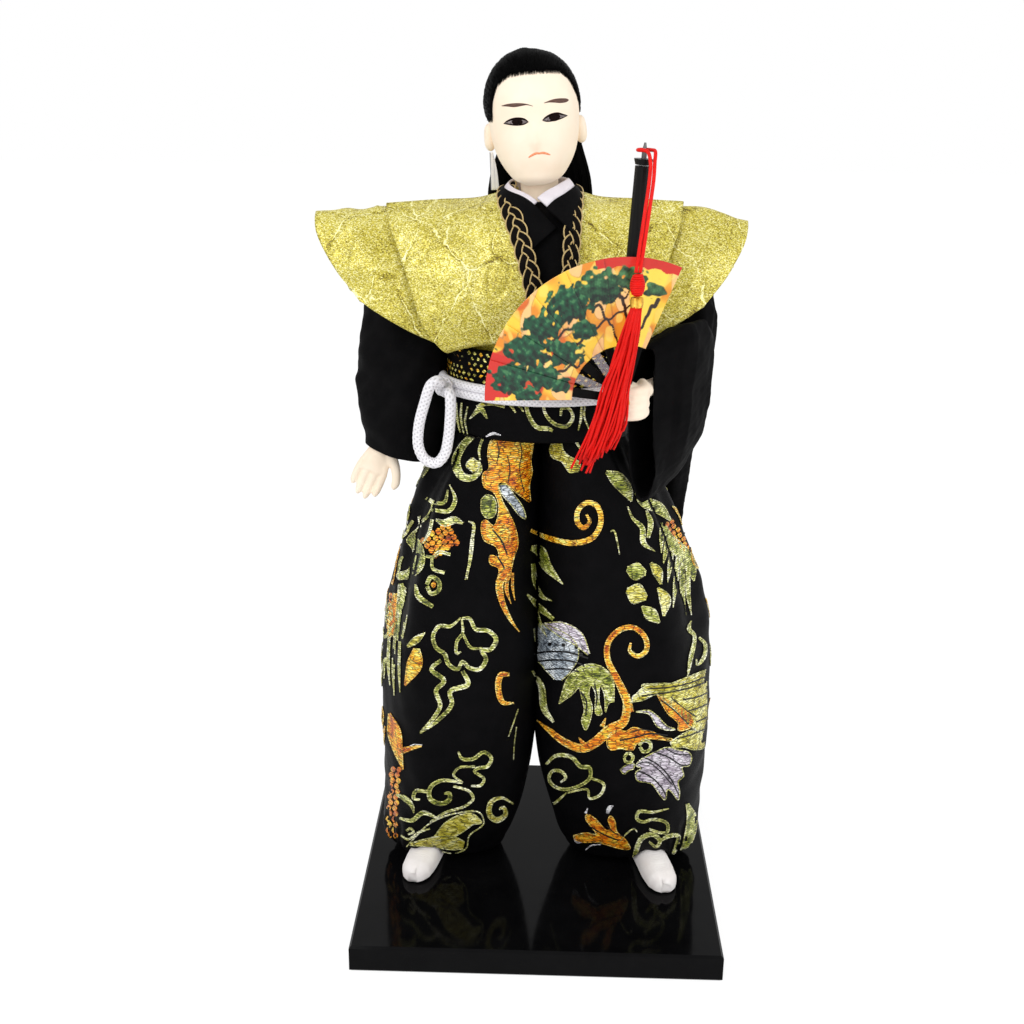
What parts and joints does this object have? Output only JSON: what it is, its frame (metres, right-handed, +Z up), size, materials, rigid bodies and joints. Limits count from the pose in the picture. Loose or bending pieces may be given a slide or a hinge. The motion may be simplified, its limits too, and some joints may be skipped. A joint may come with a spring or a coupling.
{
  "type": "samurai doll",
  "caption": "Costumed samurai doll on a black board, with a turning head, lifting arms, a folding fan, and a tasselled sword that lifts out of the fist.",
  "frame": {"origin": "middle of the board's underside, on the surface it stands on", "axes": "+Z up, the doll faces -Y, +X towards the doll's left hand"},
  "size_m": [0.1412, 0.127, 0.2994],
  "materials": {
    "lacquer": "gloss black lacquer",
    "steel": "bare wire and screws",
    "dowel_wood": "plain",
    "wadding": "loose cotton wadding",
    "sock_cloth": "fine white cotton",
    "skin": "smooth matt, knitted cover",
    "hair": "straight black thread",
    "white_silk": "plain white",
    "black_cloth": "plain weave, matt",
    "gold_brocade": "gold thread, glittering",
    "dark_brocade": "black satin with gold, green and silver woven scrolls",
    "braid": "black and gold plait",
    "white_cord": "plaited cotton",
    "red_silk": "glossy thread",
    "fan_film": "printed and laminated",
    "black_plastic": "satin",
    "brass": "polished"
  },
  "bodies": {
    "doll": {"base_board": "lacquer", "right_leg_screw": "steel", "left_leg_screw": "steel", "right_leg_rod": "dowel_wood", "left_leg_rod": "dowel_wood", "right_foot": "sock_cloth", "left_foot": "sock_cloth", "right_leg_padding": "wadding", "left_leg_padding": "wadding", "right_trouser_leg": "dark_brocade", "left_trouser_leg": "dark_brocade", "torso_core": "wadding", "shoulder_wire": "steel", "kimono_body": "black_cloth", "waistband": "dark_brocade", "sash": "dark_brocade", "waist_cord_lower": "white_cord", "waist_cord_upper": "white_cord", "cord_knot": "white_cord", "neck_dowel": "dowel_wood", "inner_collar": "white_silk", "kimono_collar": "black_cloth", "vest_back": "gold_brocade", "vest_right_front": "gold_brocade", "vest_right_wing": "gold_brocade", "right_braid": "braid", "vest_left_front": "gold_brocade", "vest_left_wing": "gold_brocade", "left_braid": "braid"},
    "head": {"head": "skin", "hair_cap": "hair", "hair_ribbon": "white_silk", "back_hair": "hair"},
    "right_arm": {"right_arm_core": "wadding", "right_sleeve": "black_cloth", "right_hand": "skin"},
    "left_arm": {"left_arm_core": "wadding", "left_sleeve": "black_cloth", "left_hand": "skin", "fan_rivet": "brass", "fan_blade_1": "fan_film"},
    "sword": {"sword_scabbard": "black_plastic", "sword_cap": "black_plastic", "sword_pin": "steel"},
    "tassel": {"tassel_cord": "red_silk", "tassel_knot": "red_silk", "tassel_band": "brass", "tassel_skirt": "red_silk"},
    "cord_loop": {"cord_loop": "white_cord"},
    "fan_2": {"fan_blade_2": "fan_film"},
    "fan_3": {"fan_blade_3": "fan_film"},
    "fan_4": {"fan_blade_4": "fan_film"},
    "fan_5": {"fan_blade_5": "fan_film"},
    "fan_6": {"fan_blade_6": "fan_film"},
    "fan_7": {"fan_blade_7": "fan_film"}
  },
  "joints": [
    {"name": "head_turn", "type": "hinge", "parent": "doll", "child": "head", "pos_m": [-0.0032, 0.001, 0.25], "axis": [-0.1045, 0, 0.9945], "range_deg": [-20, 20], "deforming": ["back_hair"]},
    {"name": "right_arm_lift", "type": "hinge", "parent": "doll", "child": "right_arm", "pos_m": [-0.0405, 0.00525, 0.238], "axis": [0, 1, 0], "range_deg": [0, 12]},
    {"name": "left_arm_lift", "type": "hinge", "parent": "doll", "child": "left_arm", "pos_m": [0.0345, 0.00525, 0.238], "axis": [0, -1, 0], "range_deg": [0, 10]},
    {"name": "sword_slide", "type": "slide", "parent": "left_arm", "child": "sword", "axis": [0.0499, 0, 0.9988], "range_m": [0, 0.09]},
    {"name": "tassel_swing", "type": "hinge", "parent": "sword", "child": "tassel", "pos_m": [0.0268, -0.0426, 0.271], "axis": [0, 1, 0], "range_deg": [-12, 12]},
    {"name": "loop_swing", "type": "hinge", "parent": "doll", "child": "cord_loop", "pos_m": [-0.0332, -0.024, 0.1974], "axis": [-1, 0, 0], "range_deg": [0, 35]},
    {"name": "fan_7_fold", "type": "hinge", "parent": "left_arm", "child": "fan_7", "pos_m": [0.0234, -0.0465, 0.1987], "axis": [0, 1, 0], "range_deg": [0, 90]},
    {"name": "fan_6_fold", "type": "hinge", "parent": "left_arm", "child": "fan_6", "pos_m": [0.0234, -0.0465, 0.1987], "axis": [0, 1, 0], "range_deg": [0, 75]},
    {"name": "fan_5_fold", "type": "hinge", "parent": "left_arm", "child": "fan_5", "pos_m": [0.0234, -0.0465, 0.1987], "axis": [0, 1, 0], "range_deg": [0, 60]},
    {"name": "fan_4_fold", "type": "hinge", "parent": "left_arm", "child": "fan_4", "pos_m": [0.0234, -0.0465, 0.1987], "axis": [0, 1, 0], "range_deg": [0, 45]},
    {"name": "fan_3_fold", "type": "hinge", "parent": "left_arm", "child": "fan_3", "pos_m": [0.0234, -0.0465, 0.1987], "axis": [0, 1, 0], "range_deg": [0, 30]},
    {"name": "fan_2_fold", "type": "hinge", "parent": "left_arm", "child": "fan_2", "pos_m": [0.0234, -0.0465, 0.1987], "axis": [0, 1, 0], "range_deg": [0, 15]}
  ],
  "couplings": [
    {"joint": "fan_6_fold", "follows": "fan_7_fold", "ratio": 0.83333},
    {"joint": "fan_5_fold", "follows": "fan_7_fold", "ratio": 0.66667},
    {"joint": "fan_4_fold", "follows": "fan_7_fold", "ratio": 0.5},
    {"joint": "fan_3_fold", "follows": "fan_7_fold", "ratio": 0.33333},
    {"joint": "fan_2_fold", "follows": "fan_7_fold", "ratio": 0.16667}
  ]
}
